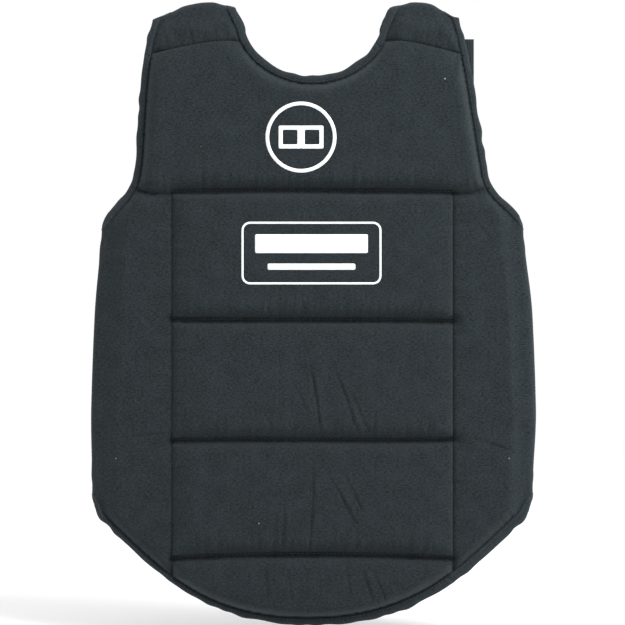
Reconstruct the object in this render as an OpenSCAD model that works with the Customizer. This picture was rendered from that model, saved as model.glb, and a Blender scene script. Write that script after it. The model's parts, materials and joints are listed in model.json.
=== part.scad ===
// Chest protector: a padded slip-over vest for martial arts and boxing.
// +X is the wearer's left, -Y the front, +Z up. The origin is in the middle of the
// neck opening, level with the shoulder folds that rest on the wearer.
// The vest is folded flat: shoulder flaps and side wings lie behind the front.

/* [Vest] */
// Width across the two side folds
vest_w = 430; // [400:5:450]
// Height from the top of the shoulders to the bottom of the hem
vest_h = 600; // [560:5:640]
// Space left between the front and the parts folded behind it
torso_gap = 12; // [10:1:16]

/* [Padding] */
// Foam thickness of the chest, rib and belly pads
core_foam = 18; // [14:1:20]
// Foam thickness of the sides, wings and shoulders
side_foam = 12; // [10:1:14]
// Width of the sewn channel between two pads
channel_w = 6; // [5:1:8]
// Corner radius of a pad
pad_corner = 7; // [4:1:9]

/* [Fabric] */
// Thickness of the cover and lining fabric
cloth_t = 1; // [0.8:0.1:1.2]
// Play between a pad and its cover
pocket_play = 0.2; // [0.1:0.1:0.4]
// Visible width of the edge binding
binding_w = 10; // [8:1:12]
// Thickness of one side of the folded binding
binding_t = 1.3; // [1:0.1:1.5]

/* [Closure] */
// Width of the two elastic closing straps
strap_w = 45; // [38:1:50]
// Width of the elastic shoulder straps
shoulder_strap_w = 38; // [30:1:40]
// Free length of a closing strap
strap_len = 130; // [115:5:135]
// Free length of a shoulder strap
shoulder_strap_len = 128; // [110:2:130]
// Thickness of the elastic webbing
strap_t = 1.5; // [1.2:0.1:1.8]
// Length of the hook tab on a strap's end
hook_len = 50; // [35:5:55]

/* [Hidden] */
$fn = 64;

// The outline is drawn for a vest of 430 x 600 and scaled from there.
kx = vest_w / 430;
kz = vest_h / 600;
far = 400;

// Depths, measured from the plane between the front and the folded parts.
lining_d = torso_gap / 2;
cloth_d = lining_d + cloth_t;
flange_d = cloth_d + cloth_t;
core_top_d = cloth_d + core_foam;
side_top_d = cloth_d + side_foam;
side_face_d = side_top_d + cloth_t;
tape_t = 1;
anchor_d = side_face_d + 2.2;
strap_d = anchor_d + 0.1;
strap_axis_d = strap_d + strap_t + 1.2;
stored_d = 2 * strap_axis_d - strap_d - strap_t;

// Seams of the quilting.
side_seam_x = 135 * kx;
shoulder_seam_z = -31 * kz;
seam_z = [-167 * kz, -291 * kz, -407 * kz, -518 * kz];

// Fold of a side: its line through (x, z) and its lean from upright.
fold_r = flange_d;
side_fold = [210 * kx - fold_r, -335 * kz];
side_lean = 2;
// Fold of a shoulder: its line through (x, z) and its slope from level.
shoulder_fold = [112 * kx, 10 * kz - fold_r];
shoulder_slope = 8;

// Free end of a wing and lower end of a shoulder flap.
wing_end_x = 40 * kx;
flap_end_z = -146 * kz;
strap_zs = [-304 * kz, -375 * kz];
flap_strap_x = 138 * kx;

function cubic(p, n = 10) = [
    for (i = [0 : n - 1])
        let (t = i / n, s = 1 - t)
            s * s * s * p[0] + 3 * s * s * t * p[1] + 3 * s * t * t * p[2] + t * t * t * p[3]
];
function sized(points) = [for (p = points) [p[0] * kx, p[1] * kz]];
function side_fold_x(z) = side_fold[0] - tan(side_lean) * (z - side_fold[1]);
function shoulder_fold_z(x) = shoulder_fold[1] - tan(shoulder_slope) * (x - shoulder_fold[0]);

// Right-hand half of the outline seen from the front, from the neck to the hem.
half_outline = sized(concat(
    cubic([[0, -59], [30, -59], [60, -40], [66, -14]]),
    cubic([[66, -14], [68, 4], [80, 14], [98, 14]]),
    cubic([[98, 14], [120, 13], [150, 4], [153, -22]]),
    cubic([[153, -22], [160, -60], [160, -125], [170, -150]]),
    cubic([[170, -150], [177, -172], [190, -180], [202, -197]]),
    cubic([[202, -197], [206, -202], [205, -212], [206, -222]], 4),
    cubic([[206, -222], [211, -290], [217, -400], [213.5, -460]]),
    cubic([[213.5, -460], [213, -470], [208, -477], [203, -484]], 4),
    cubic([[203, -484], [150, -535], [110, -586], [0, -586]], 24)
));
wing_outline = sized(concat(
    [[240, -203]],
    cubic([[186, -203], [150, -215], [110, -262], [60, -268]]),
    cubic([[60, -268], [48, -270], [40, -276], [40, -288]], 4),
    cubic([[40, -288], [40, -330], [40, -360], [40, -396]], 2),
    cubic([[40, -396], [40, -408], [48, -412], [60, -414]], 4),
    cubic([[60, -414], [110, -424], [150, -452], [196, -474]]),
    [[240, -474]]
));
flap_outline = sized(concat(
    [[66, 40]],
    cubic([[66, -14], [70, -60], [98, -90], [102, -128]]),
    cubic([[102, -128], [104, -142], [108, -146], [116, -146]], 4),
    cubic([[116, -146], [125, -146], [135, -146], [142, -146]], 2),
    cubic([[142, -146], [150, -146], [154, -142], [154, -132]], 4),
    cubic([[154, -132], [154, -90], [150, -60], [146, -22]]),
    [[146, 40]]
));

module on_side(side) {
    mirror([side < 0 ? 1 : 0, 0, 0]) children();
}

// Extrudes a shape drawn in x and z between two depths behind or before the gap.
module layer(near, far_d, rear = false) {
    translate([0, rear ? far_d : -near, 0])
        rotate([90, 0, 0])
            linear_extrude(far_d - near) children();
}

module box2d(x0, x1, z0, z1) {
    translate([x0, z0]) square([x1 - x0, z1 - z0]);
}

module vest_shape() {
    polygon(concat(half_outline, [[0, -586 * kz]],
        [for (i = [len(half_outline) - 1 : -1 : 1]) [-half_outline[i][0], half_outline[i][1]]]));
}

// Everything on the near side of the side fold, on the left half.
module inside_side_fold() {
    polygon([[-far, 2 * far], [side_fold_x(2 * far), 2 * far],
        [side_fold_x(-2 * far), -2 * far], [-far, -2 * far]]);
}

// Everything below the shoulder fold, on the left half.
module below_shoulder_fold() {
    polygon([[0, shoulder_fold_z(0)], [far, shoulder_fold_z(far)],
        [far, -2 * far], [0, -2 * far]]);
}

module front_shape(inset = 0) {
    for (side = [1, -1])
        mirror([side < 0 ? 1 : 0, 0])
            intersection() {
                offset(delta = -inset) vest_shape();
                inside_side_fold();
                below_shoulder_fold();
            }
}

module wing_shape(inset = 0) {
    intersection() {
        offset(delta = -inset) polygon(wing_outline);
        inside_side_fold();
    }
}

module flap_shape(inset = 0) {
    intersection() {
        offset(delta = -inset) polygon(flap_outline);
        below_shoulder_fold();
    }
}

// Rounds the corners of a shape.
module rounded(r) {
    offset(r = r) offset(delta = -r) children();
}

// One pad of the front, cut from the padded area between its seams.
module pad_cell(x0, x1, z0, z1) {
    rounded(pad_corner)
        intersection() {
            offset(delta = -binding_w - channel_w / 2) vest_shape();
            box2d(x0 + channel_w / 2, x1 - channel_w / 2, z0 + channel_w / 2, z1 - channel_w / 2);
        }
}

module chest_cell() {
    rounded(pad_corner)
        intersection() {
            offset(delta = -binding_w - channel_w / 2) vest_shape();
            box2d(-far, far, seam_z[0] + channel_w / 2, shoulder_seam_z - channel_w / 2);
        }
}

module rib_cell(i) {
    pad_cell(-side_seam_x, side_seam_x, i < 3 ? seam_z[i + 1] : -2 * far, seam_z[i]);
}

module side_cell() {
    rounded(pad_corner)
        intersection() {
            offset(delta = -binding_w - channel_w / 2) vest_shape();
            box2d(side_seam_x + channel_w / 2, far, -2 * far, seam_z[0] - channel_w / 2);
            offset(delta = -channel_w / 2) inside_side_fold();
        }
}

module collar_cell() {
    rounded(pad_corner)
        intersection() {
            offset(delta = -binding_w - channel_w / 2) vest_shape();
            box2d(0, far, shoulder_seam_z + channel_w / 2, far);
            offset(delta = -channel_w / 2) below_shoulder_fold();
        }
}

module wing_cell() {
    rounded(pad_corner)
        intersection() {
            offset(delta = -binding_w - channel_w / 2) polygon(wing_outline);
            offset(delta = -channel_w / 2) inside_side_fold();
        }
}

module flap_cell() {
    rounded(pad_corner)
        intersection() {
            offset(delta = -binding_w - channel_w / 2) polygon(flap_outline);
            offset(delta = -channel_w / 2) below_shoulder_fold();
        }
}

// The raised part of a cover that wraps one pad, and the pocket inside it.
module cup(top, rear = false) {
    layer(cloth_d, top + cloth_t, rear) offset(delta = pocket_play + cloth_t) children();
}
module pocket(top, rear = false) {
    layer(cloth_d - 1, top + pocket_play, rear) offset(delta = pocket_play) children();
}

// Folded tape that grips a stretch of edge from both faces.
module binding(rear = false) {
    d0 = lining_d - binding_t;
    d1 = flange_d + binding_t;
    difference() {
        layer(d0, d1, rear) children(0);
        layer(lining_d, flange_d, rear) children(1);
    }
}

module front_cover() {
    color("#33393c")
        difference() {
            union() {
                layer(cloth_d, flange_d) front_shape(binding_t);
                cup(core_top_d) chest_cell();
                for (i = [0 : 3]) cup(core_top_d) rib_cell(i);
                for (side = [1, -1]) on_side(side) {
                    cup(side_top_d) side_cell();
                    cup(side_top_d) collar_cell();
                }
            }
            pocket(core_top_d) chest_cell();
            for (i = [0 : 3]) pocket(core_top_d) rib_cell(i);
            for (side = [1, -1]) on_side(side) {
                pocket(side_top_d) side_cell();
                pocket(side_top_d) collar_cell();
            }
        }
}

module front_lining() {
    color("#24282a") layer(lining_d, cloth_d) front_shape(binding_t);
}

module foam(top, rear = false) {
    color("#3d3f40") layer(cloth_d, top, rear) children();
}

// Edge band of the front, kept where the given window allows it.
module front_band(inset = 0) {
    difference() {
        front_shape(inset);
        offset(delta = -binding_w) vest_shape();
    }
}

module neck_window() {
    polygon([[0, -80 * kz], [60 * kx, -80 * kz], [92 * kx, 10 * kz], [92 * kx, far],
        [-92 * kx, far], [-92 * kx, 10 * kz], [-60 * kx, -80 * kz]]);
}

module armhole_window() {
    polygon([[120 * kx, far], [120 * kx, -100 * kz], [far, -208 * kz], [far, far]]);
}

module hem_window() {
    box2d(-far, far, -2 * far, -455 * kz);
}

module neck_binding() {
    color("#2d3336")
        binding() {
            intersection() { front_band(); neck_window(); }
            front_shape(binding_t - 0.1);
        }
}

module armhole_binding(side) {
    color("#2d3336")
        on_side(side) binding() {
            intersection() { front_band(); armhole_window(); }
            front_shape(binding_t - 0.1);
        }
}

module hem_binding() {
    color("#2d3336")
        binding() {
            intersection() { front_band(); hem_window(); }
            front_shape(binding_t - 0.1);
        }
}

// Lock-stitched thread lying in the sewn channels of the front.
thread_t = 0.6;
module thread_run(x0, x1, z0, z1) {
    layer(flange_d, flange_d + thread_t) box2d(x0, x1, z0, z1);
}
module quilting_thread() {
    color("#1d2022") {
        for (z = seam_z)
            thread_run(-side_seam_x + 2, side_seam_x - 2, z - thread_t / 2, z + thread_t / 2);
        for (side = [1, -1]) on_side(side) {
            thread_run(side_seam_x - thread_t / 2, side_seam_x + thread_t / 2,
                -520 * kz, seam_z[0]);
            thread_run(75 * kx, 140 * kx,
                shoulder_seam_z - thread_t / 2, shoulder_seam_z + thread_t / 2);
        }
    }
}

// Printed marks: plain shapes with no lettering.
print_t = 0.4;
module chest_emblem() {
    color("white")
        layer(core_top_d + cloth_t, core_top_d + cloth_t + print_t)
            translate([-11 * kx, -118 * kz]) {
                difference() {
                    circle(r = 34);
                    circle(r = 30.5);
                }
                for (k = [-1, 1])
                    translate([k * 10.5, 0]) difference() {
                        square(22, center = true);
                        square(14, center = true);
                    }
            }
}

module belly_emblem() {
    color("white")
        layer(core_top_d + cloth_t, core_top_d + cloth_t + print_t)
            translate([-1 * kx, -229 * kz]) {
                difference() {
                    offset(r = 8) square([118, 44], center = true);
                    offset(r = 6) square([118, 44], center = true);
                }
                translate([0, 9]) square([108, 18], center = true);
                translate([0, -13]) square([84, 6], center = true);
            }
}

// Blank woven label sewn inside, under the neck.
module size_label() {
    color("#c9cccd") layer(lining_d - 0.5, lining_d) box2d(-18, 18, -100 * kz, -74 * kz);
}

// Play between the turn of a fold and the panels that it joins.
fold_play = 0.1;

// Soft turn of a fold, drawn along local Z with its hollow side towards local -X.
module fold_turn(length_up, length_down) {
    translate([0, 0, -length_down])
        intersection() {
            difference() {
                cylinder(r = fold_r, h = length_up + length_down);
                translate([0, 0, -1]) cylinder(r = lining_d, h = length_up + length_down + 2);
            }
            translate([fold_play, -2 * fold_r, 0])
                cube([2 * fold_r, 4 * fold_r, length_up + length_down]);
        }
}

module side_bend(side) {
    color("#33393c") on_side(side)
        translate([side_fold[0], 0, side_fold[1]])
            rotate([0, -side_lean, 0]) fold_turn(128 * kz, 134 * kz);
}

module shoulder_bend(side) {
    color("#33393c") on_side(side)
        translate([shoulder_fold[0], 0, shoulder_fold[1]])
            rotate([0, shoulder_slope - 90, 0]) fold_turn(40 * kx, 34 * kx);
}

module wing_cover(side) {
    color("#33393c") on_side(side)
        difference() {
            union() {
                layer(cloth_d, flange_d, true) wing_shape(binding_t);
                cup(side_top_d, true) wing_cell();
            }
            pocket(side_top_d, true) wing_cell();
        }
}

module wing_lining(side) {
    color("#24282a") on_side(side) layer(lining_d, cloth_d, true) wing_shape(binding_t);
}

module wing_binding(side) {
    color("#2d3336")
        on_side(side) binding(true) {
            difference() { wing_shape(); offset(delta = -binding_w) polygon(wing_outline); }
            wing_shape(binding_t - 0.1);
        }
}

module flap_cover(side) {
    color("#33393c") on_side(side)
        difference() {
            union() {
                layer(cloth_d, flange_d, true) flap_shape(binding_t);
                cup(side_top_d, true) flap_cell();
            }
            pocket(side_top_d, true) flap_cell();
        }
}

module flap_lining(side) {
    color("#24282a") on_side(side) layer(lining_d, cloth_d, true) flap_shape(binding_t);
}

module flap_binding(side) {
    color("#2d3336")
        on_side(side) binding(true) {
            difference() { flap_shape(); offset(delta = -binding_w) polygon(flap_outline); }
            flap_shape(binding_t - 0.1);
        }
}

// Soft side of the hook-and-loop tape, sewn on the outside of a wing.
module loop_patch(x0, x1, z0, z1) {
    color("#2a2a29")
        layer(side_face_d + pocket_play, side_face_d + tape_t, true)
            box2d(x0 * kx, x1 * kx, z0 * kz, z1 * kz);
}

// Doubled fabric that raises the sewn end of a strap over the padding.
module patch(x0, x1, z0, z1) {
    color("#2d3336")
        layer(side_face_d + pocket_play, anchor_d, true) box2d(x0, x1, z0, z1);
}

strap_axis_x = wing_end_x - 2;
shoulder_strap_axis_z = flap_end_z - 2;
sewn_len = 40;
ring_gap = 3.2;

// A strap drawn lying back along +X from its fold at x = 0, with z across it.
module strap_end(w) {
    color("#26292b")
        translate([ring_gap, strap_d, -w / 2]) cube([sewn_len, strap_t, w]);
}
module folded_strap(w, length) {
    r0 = strap_axis_d - strap_d - strap_t;
    color("#26292b") {
        translate([0, stored_d, -w / 2]) cube([length, strap_t, w]);
        translate([0, strap_axis_d, -w / 2])
            intersection() {
                difference() {
                    cylinder(r = r0 + strap_t, h = w);
                    translate([0, 0, -1]) cylinder(r = r0, h = w + 2);
                }
                translate([-far, -far, 0]) cube([far, 2 * far, w]);
            }
    }
}
module hook_tab(w, length) {
    color("#39332e")
        translate([length - hook_len, stored_d + strap_t, -w / 2 + 1])
            cube([hook_len - 1, tape_t, w - 2]);
}

module at_closure(i) {
    translate([strap_axis_x, 0, strap_zs[i]]) children();
}
module at_shoulder_strap(side) {
    on_side(side)
        translate([flap_strap_x, 0, shoulder_strap_axis_z])
            rotate([0, -90, 0]) children();
}
module flap_patch(side) {
    on_side(side) patch(flap_strap_x - 18, flap_strap_x + 14, -142 * kz, -102 * kz);
}

front_cover();
front_lining();
foam(core_top_d) chest_cell();  // chest_pad
foam(core_top_d) rib_cell(0);  // upper_rib_pad
foam(core_top_d) rib_cell(1);  // lower_rib_pad
foam(core_top_d) rib_cell(2);  // belly_pad
foam(core_top_d) rib_cell(3);  // hem_pad
on_side(1) foam(side_top_d) side_cell();  // left_side_pad
on_side(-1) foam(side_top_d) side_cell();  // right_side_pad
on_side(1) foam(side_top_d) collar_cell();  // left_collar_pad
on_side(-1) foam(side_top_d) collar_cell();  // right_collar_pad
neck_binding();
armhole_binding(1);  // left_armhole_binding
armhole_binding(-1);  // right_armhole_binding
hem_binding();
quilting_thread();
chest_emblem();
belly_emblem();
size_label();

shoulder_bend(1);  // left_shoulder_bend
flap_cover(1);  // left_flap_cover
on_side(1) foam(side_top_d, true) flap_cell();  // left_flap_pad
flap_lining(1);  // left_flap_lining
flap_binding(1);  // left_flap_binding
flap_patch(1);  // left_flap_patch
at_shoulder_strap(1) strap_end(shoulder_strap_w);  // left_shoulder_strap_end
at_shoulder_strap(1) folded_strap(shoulder_strap_w, shoulder_strap_len);  // left_shoulder_strap
at_shoulder_strap(1) hook_tab(shoulder_strap_w, shoulder_strap_len);  // left_shoulder_hook

shoulder_bend(-1);  // right_shoulder_bend
flap_cover(-1);  // right_flap_cover
on_side(-1) foam(side_top_d, true) flap_cell();  // right_flap_pad
flap_lining(-1);  // right_flap_lining
flap_binding(-1);  // right_flap_binding
flap_patch(-1);  // right_flap_patch
at_shoulder_strap(-1) strap_end(shoulder_strap_w);  // right_shoulder_strap_end
at_shoulder_strap(-1) folded_strap(shoulder_strap_w, shoulder_strap_len);  // right_shoulder_strap
at_shoulder_strap(-1) hook_tab(shoulder_strap_w, shoulder_strap_len);  // right_shoulder_hook

side_bend(1);  // left_side_bend
wing_cover(1);  // left_wing_cover
on_side(1) foam(side_top_d, true) wing_cell();  // left_wing_pad
wing_lining(1);  // left_wing_lining
wing_binding(1);  // left_wing_binding
on_side(1) loop_patch(120, 162, -278, -248);  // left_wing_loop
patch(wing_end_x + 2, wing_end_x + 44, -402 * kz, -280 * kz);  // strap_anchor
at_closure(0) strap_end(strap_w);  // upper_strap_end
at_closure(1) strap_end(strap_w);  // lower_strap_end

side_bend(-1);  // right_side_bend
wing_cover(-1);  // right_wing_cover
on_side(-1) foam(side_top_d, true) wing_cell();  // right_wing_pad
wing_lining(-1);  // right_wing_lining
wing_binding(-1);  // right_wing_binding
on_side(-1) loop_patch(120, 162, -278, -248);  // right_wing_loop
on_side(-1) loop_patch(50, 114, -402, -282);  // closure_loop

at_closure(0) folded_strap(strap_w, strap_len);  // upper_strap
at_closure(0) hook_tab(strap_w, strap_len);  // upper_hook
at_closure(1) folded_strap(strap_w, strap_len);  // lower_strap
at_closure(1) hook_tab(strap_w, strap_len);  // lower_hook
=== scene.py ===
import json
import math
import random

import bmesh
import bpy
import numpy as np
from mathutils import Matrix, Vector
from mathutils.bvhtree import BVHTree
from mathutils.geometry import delaunay_2d_cdt


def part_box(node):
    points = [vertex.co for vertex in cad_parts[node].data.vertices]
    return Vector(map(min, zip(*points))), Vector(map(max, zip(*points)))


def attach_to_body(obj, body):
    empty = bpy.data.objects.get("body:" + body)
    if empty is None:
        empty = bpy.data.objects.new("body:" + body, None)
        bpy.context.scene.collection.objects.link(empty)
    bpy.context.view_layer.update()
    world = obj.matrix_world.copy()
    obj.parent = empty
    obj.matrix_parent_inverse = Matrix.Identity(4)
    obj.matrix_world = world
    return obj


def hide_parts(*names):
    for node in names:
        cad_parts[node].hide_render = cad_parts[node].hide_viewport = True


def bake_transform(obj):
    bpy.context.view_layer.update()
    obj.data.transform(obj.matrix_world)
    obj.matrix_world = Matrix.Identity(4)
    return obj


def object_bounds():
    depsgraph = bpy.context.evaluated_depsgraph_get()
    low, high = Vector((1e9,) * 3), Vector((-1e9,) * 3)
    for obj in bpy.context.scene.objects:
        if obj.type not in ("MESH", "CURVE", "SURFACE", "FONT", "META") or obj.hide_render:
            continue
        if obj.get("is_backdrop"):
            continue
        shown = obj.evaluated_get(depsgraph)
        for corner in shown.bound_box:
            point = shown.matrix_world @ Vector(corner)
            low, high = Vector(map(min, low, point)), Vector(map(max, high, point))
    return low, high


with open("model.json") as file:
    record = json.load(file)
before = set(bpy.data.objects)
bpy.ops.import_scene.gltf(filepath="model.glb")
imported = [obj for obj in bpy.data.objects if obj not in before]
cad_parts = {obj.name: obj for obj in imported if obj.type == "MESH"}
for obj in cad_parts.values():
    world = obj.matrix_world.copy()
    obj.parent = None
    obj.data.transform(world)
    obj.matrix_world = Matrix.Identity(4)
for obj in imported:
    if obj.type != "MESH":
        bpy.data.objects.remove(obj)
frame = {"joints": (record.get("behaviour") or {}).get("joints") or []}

# A chest protector folded flat, front to -Y. Lengths are metres; a shape that is drawn
# is in millimetres of a 430 x 600 vest and scaled to the frame's own box.

CAD_LOW, CAD_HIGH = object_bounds()
MM = 0.001
DRAWN_W, DRAWN_H = 430, 600
SCALE_X = (CAD_HIGH.x - CAD_LOW.x) / (DRAWN_W * MM)
SCALE_Z = (CAD_HIGH.z - CAD_LOW.z) / (DRAWN_H * MM)
LEFT, RIGHT = 1, -1
NAMES = {LEFT: "left", RIGHT: "right"}

# Depths from the plane between the front and what is folded behind it.
LINING_Y = -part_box("front_lining")[1].y
CLOTH_Y = -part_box("front_lining")[0].y
CORE_RISE = -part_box("front_cover")[0].y - CLOTH_Y
SIDE_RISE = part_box("left_wing_cover")[1].y - CLOTH_Y
FOLD_ARC = math.pi * CLOTH_Y
# How far the hinge of a fold lies beyond the line where the cloth starts to turn.
HINGE_OUT = math.pi / 2 * (2 * CLOTH_Y - LINING_Y)
# Visible width of the folded tape along the hem, the neck and the armholes.
HEM_W, NECK_W, ARM_W = 5.8 * MM, 6.5 * MM, 5.2 * MM
# How much wider it is at the hem's left, and the length of a change between widths.
HEM_WIDENS, TAPE_CHANGE = 1.8 * MM, 30 * MM
TAPE_T = 1.3 * MM
# How much flatter the tape lies where it turns over a fold.
TAPE_PRESS = 0.6
FLANGE_RISE = 0.9 * MM


# ---------------------------------------------------------------- outlines

def ex(millimetres):
    return millimetres * SCALE_X * MM


def zed(millimetres):
    return millimetres * SCALE_Z * MM


def bezier(a, b, c, d, count=40):
    """Points along a Bezier curve."""
    steps = [i / (count - 1) for i in range(count)]
    return [(1 - t) ** 3 * a + 3 * (1 - t) ** 2 * t * b + 3 * (1 - t) * t * t * c + t ** 3 * d
            for t in steps]


def cubic(points, count=40):
    """Points along a Bezier curve that is drawn in millimetres."""
    return bezier(*(Vector((ex(x), zed(z))) for x, z in points), count)


def handles(first, second, pull):
    """Steps that lead on from the end of one run, and into the start of another."""
    leave = (first[-1] - first[-2]).normalized() * pull
    arrive = (second[1] - second[0]).normalized() * pull
    return leave, arrive


def bridge(first, second):
    """A smooth curve from the end of one run to the start of another."""
    leave, arrive = handles(first, second, 12 * MM)
    return bezier(first[-1], first[-1] + leave, second[0] - arrive, second[0])


def joined(*curves):
    """One run of points from several, without repeats."""
    out = []
    for curve in curves:
        for point in curve:
            if not out or (point - out[-1]).length > 1e-6:
                out.append(point)
    return out


def lengths(points):
    """How far along a run each of its points lies."""
    return np.concatenate([[0], np.cumsum(np.linalg.norm(np.diff(points, axis=0), axis=1))])


def headings(path):
    """Unit vectors along a path, one at each of its points."""
    ahead = np.gradient(path, axis=0)
    return ahead / np.linalg.norm(ahead, axis=1)[:, None]


def left_of(ahead):
    """Flat unit vectors turned a quarter to the left."""
    return np.stack([-ahead[:, 1], ahead[:, 0]], axis=1)


def spaced(points, step, closed=False):
    """The same run with points at an even distance of about step."""
    pts = np.array([tuple(p) for p in points])
    if closed:
        pts = np.vstack([pts, pts[:1]])
    length = lengths(pts)
    count = max(2, int(round(length[-1] / step)) + 1)
    at = np.linspace(0, length[-1], count)
    out = np.stack([np.interp(at, length, pts[:, k]) for k in range(pts.shape[1])], axis=1)
    return out[:-1] if closed else out


def mirrored(run):
    return [Vector((-p.x, p.y)) for p in run]


def backward(run):
    return list(reversed(run))


def split_at(points, value, axis=1):
    """Cuts a run where its coordinate passes a value, and returns both pieces."""
    for i in range(len(points) - 1):
        a, b = points[i], points[i + 1]
        if (a[axis] - value) * (b[axis] - value) <= 0 and a[axis] != b[axis]:
            cut = a.lerp(b, (value - a[axis]) / (b[axis] - a[axis]))
            return points[:i + 1] + [cut], [cut] + points[i + 1:]
    raise ValueError("the run never passes that value")


SIDE_SEAM_X = ex(135)
NECK_SEAM_Z, ARM_SEAM_Z, CHEST_SEAM_Z = zed(-27), zed(-38), zed(-164)
NECK = cubic([(0, -59), (30, -59), (60, -40), (66, -14)])
HEM = cubic([(203, -484), (150, -534), (106, -584.5), (0, -584.5)], 80)
# The armhole's edge stands further out on the right than on the left.
ARMHOLE = {
    LEFT: joined(cubic([(140, -2), (150, -30), (158, -90), (169, -155)]),
                 cubic([(169, -155), (174, -174), (191, -180), (203, -197)])),
    RIGHT: joined(cubic([(152, -2), (170, -50), (166, -125), (172, -155)]),
                  cubic([(172, -155), (176, -172), (190, -180), (202, -197)])),
}
CHEST_SEAM = cubic([(-135, -169), (-45, -166), (45, -168), (135, -169)])
RIB_SEAM = cubic([(-135, -291), (-50, -293), (40, -290), (135, -293)])
WAIST_SEAM = cubic([(-135, -407), (-40, -405), (50, -408), (135, -406)])
BELLY_SEAM = cubic([(-135, -520), (-50, -515), (50, -515), (135, -520)])
OUTER_HEM, INNER_HEM = split_at(HEM, SIDE_SEAM_X, axis=0)
NECK_FRONT, NECK_TOP = split_at(NECK, NECK_SEAM_Z)
SIDE_SEAM = [INNER_HEM[0], CHEST_SEAM[-1]]


def armhole_runs(side):
    """The armhole's edge in three runs: along the shoulder, the front and the side panel."""
    top, rest = split_at(ARMHOLE[side], ARM_SEAM_Z)
    middle, low = split_at(rest, CHEST_SEAM_Z)
    return top, middle, low


def shoulder_seam(side):
    """The seam across the shoulder, from the neck to the armhole."""
    start, end = NECK_FRONT[-1], armhole_runs(side)[1][0]
    return bezier(start, start + Vector((ex(26), zed(8))), end + Vector((ex(-36), zed(7))), end)


def chest_side_seam(side):
    """The chest seam's last stretch, from the side seam out to the armhole."""
    start, end = CHEST_SEAM[-1], armhole_runs(side)[2][0]
    return bezier(start, start + Vector((ex(12), zed(-5))), end + Vector((ex(-14), zed(-5))), end)


# ---------------------------------------------------------------- folds

def joint_named(name):
    return next(joint for joint in frame["joints"] if joint["name"] == name)


class Fold:
    """A soft fold along a hinge of the frame. Its panel is drawn flat in x and z, on past
    the fold, and place() turns what lies beyond the fold line behind the front."""

    def __init__(self, joint_name, side, middle, halves, pinch):
        """The fold bulges out most at its middle. It is tighter by the share pinch at its
        two ends, which lie the two lengths in halves away from the middle."""
        joint = joint_named(joint_name)
        hinge = Vector((joint["pos_m"][0] * side, joint["pos_m"][2]))
        axis = Vector((joint["axis"][0] * side, joint["axis"][2])).normalized()
        outward = Vector((axis.y, -axis.x))
        vest_middle = Vector((0, zed(-290)))
        if outward.dot(hinge - vest_middle) < 0:
            outward.negate()
        self.side = side
        self.along = Vector((-outward.y, outward.x))
        self.outward = outward
        self.line = hinge - outward * HINGE_OUT
        self.middle = self.run([middle])[0]
        self.halves = halves
        self.pinch = pinch

    def reach(self, points):
        """How far points lie beyond the fold line, before it is folded."""
        return (np.asarray(points) - np.array(self.line)) @ np.array(self.outward)

    def run(self, points):
        """How far points lie along the fold line."""
        return (np.asarray(points) - np.array(self.line)) @ np.array(self.along)

    def crown(self, points):
        """0 where the cloth lies flat and 1 on top of the fold."""
        return np.sin(np.clip(self.reach(points) / FOLD_ARC, 0, 1) * math.pi)

    def unfold(self, curve):
        """Where a curve behind the front lies in the flat drawing."""
        out = []
        for p in curve:
            reach = (p - self.line).dot(self.outward)
            out.append(p + self.outward * (FOLD_ARC - 2 * reach))
        return out

    def crest(self, place, axis):
        """The flat point on top of the fold whose coordinate on an axis is place."""
        start = self.line + self.outward * FOLD_ARC / 2
        return start + self.along * ((place - start[axis]) / self.along[axis])

    def over(self, first, crest, second):
        """A smooth curve from the end of one run over a crest point to another run."""
        pull = 8 * MM
        way = self.outward * math.copysign(pull, (second[0] - first[-1]).dot(self.outward))
        leave, arrive = handles(first, second, pull)
        return joined(bezier(first[-1], first[-1] + leave, crest - way, crest, 16),
                      bezier(crest, crest + way, second[0] - arrive, second[0], 16))

    def place(self, points, rise):
        """Places flat points, raised off the cloth by rise, in the frame."""
        points = np.asarray(points, float)
        reach, run = self.reach(points), self.run(points)
        turn = np.clip(reach / FOLD_ARC, 0, 1) * math.pi
        depth = CLOTH_Y + np.asarray(rise, float)
        off = run - self.middle
        share = np.clip(np.maximum(-off / self.halves[0], off / self.halves[1]), 0, 1)
        tight = 1 - self.pinch * share ** 2
        out = np.minimum(reach, 0) - np.maximum(reach - FOLD_ARC, 0) + depth * np.sin(turn) * tight
        flat = (np.array(self.line) + run[:, None] * np.array(self.along)
                + out[:, None] * np.array(self.outward))
        return np.stack([self.side * flat[:, 0], -depth * np.cos(turn), flat[:, 1]], axis=1)


class Flat:
    """The centre of the front, which doesn't fold."""
    side = LEFT

    def crown(self, points):
        return np.zeros(len(points))

    def place(self, points, rise):
        points = np.asarray(points, float)
        depth = CLOTH_Y + np.asarray(rise, float)
        return np.stack([points[:, 0], -depth * np.ones(len(points)), points[:, 1]], axis=1)


# ---------------------------------------------------------------- padded relief

def nearest_on(points, run):
    """Distance from each point to a run of points, the place along it, and the offset."""
    points, run = np.asarray(points, float), np.asarray(run, float)
    length = lengths(run)
    best = np.full(len(points), 1e9)
    place = np.zeros(len(points))
    offset = np.zeros((len(points), 2))
    for a, b, s in zip(run[:-1], run[1:], length):
        d = b - a
        size = d @ d
        if size < 1e-14:
            continue
        t = np.clip(((points - a) @ d) / size, 0, 1)
        gap = points - (a + t[:, None] * d)
        far = np.linalg.norm(gap, axis=1)
        closer = far < best
        best[closer] = far[closer]
        place[closer] = s + t[closer] * math.sqrt(size)
        offset[closer] = gap[closer]
    return best, place, offset


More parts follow.
